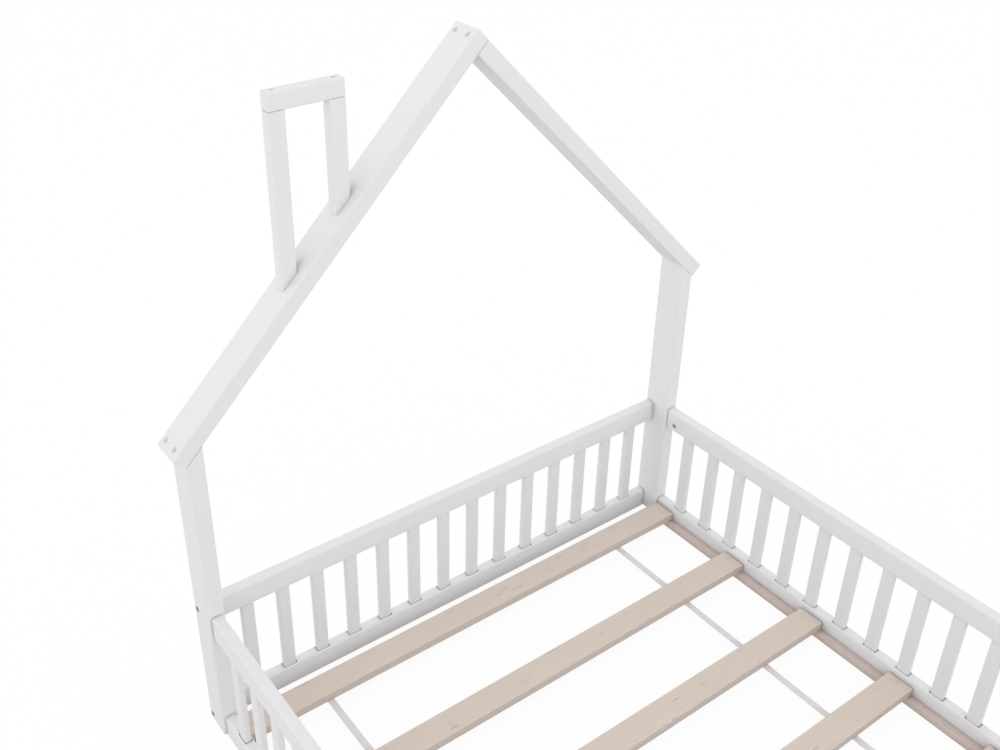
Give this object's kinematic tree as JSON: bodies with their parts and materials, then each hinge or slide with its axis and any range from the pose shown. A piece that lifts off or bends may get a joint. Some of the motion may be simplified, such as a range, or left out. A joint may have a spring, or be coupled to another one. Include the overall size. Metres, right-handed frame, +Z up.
{
  "type": "kids floor bed with house-shaped head end",
  "caption": "Low kids floor bed in white painted wood: a spindle fence all round, a house-shaped arch with a chimney at the head end, and pine slats that carry a mattress.",
  "frame": {"origin": "bottom centre of the bounding box, on the floor, in the middle of the bed", "axes": "+X to the right and +Y to the head end with the arch, as seen from the foot end, +Z up"},
  "size_m": [1.1056, 1.962, 1.1536],
  "materials": {
    "white_paint": "satin white paint over smooth-sanded pine, edges eased",
    "slat_pine": "bare planed pine, pale pinkish tan, fine straight grain",
    "cleat_pine": "bare sawn pine, a little greyer than the slats",
    "dowel_beech": "bare turned beech",
    "zinc_steel": "bright zinc plate",
    "black_steel": "black oxide, a little worn on the rims",
    "plain_steel": "plain turned steel, dull grey",
    "webbing": "flat woven polyester tape, off-white"
  },
  "bodies": {
    "root": {"barrel_nuts": "plain_steel", "chimney_cap": "white_paint", "chimney_cap_screws": "zinc_steel", "chimney_left_leg": "white_paint", "chimney_leg_screws": "zinc_steel", "chimney_right_leg": "white_paint", "cleat_screws": "zinc_steel", "end_rail_bolts": "black_steel", "foot_bottom_rail": "white_paint", "foot_spindles": "white_paint", "foot_top_rail": "white_paint", "head_bottom_rail": "white_paint", "head_spindle_01": "white_paint", "head_spindle_02": "white_paint", "head_spindle_03": "white_paint", "head_spindle_04": "white_paint", "head_spindle_05": "white_paint", "head_spindle_06": "white_paint", "head_spindle_07": "white_paint", "head_spindle_08": "white_paint", "head_spindle_09": "white_paint", "head_spindle_10": "white_paint", "head_spindle_11": "white_paint", "head_spindle_12": "white_paint", "head_spindle_13": "white_paint", "head_spindle_14": "white_paint", "head_top_rail": "white_paint", "left_bottom_rail": "white_paint", "left_cleat": "cleat_pine", "left_foot_post": "white_paint", "left_head_post": "white_paint", "left_rafter": "white_paint", "left_slat_strap": "webbing", "left_spindles": "white_paint", "left_top_rail": "white_paint", "rafter_screws": "zinc_steel", "rail_dowels": "dowel_beech", "right_bottom_rail": "white_paint", "right_cleat": "cleat_pine", "right_foot_post": "white_paint", "right_head_post": "white_paint", "right_rafter": "white_paint", "right_slat_strap": "webbing", "right_spindles": "white_paint", "right_top_rail": "white_paint", "side_rail_bolts": "black_steel", "slat_01": "slat_pine", "slat_02": "slat_pine", "slat_03": "slat_pine", "slat_04": "slat_pine", "slat_05": "slat_pine", "slat_06": "slat_pine", "slat_07": "slat_pine", "slat_08": "slat_pine", "slat_09": "slat_pine", "slat_10": "slat_pine", "slat_staples": "zinc_steel"}
  },
  "joints": []
}
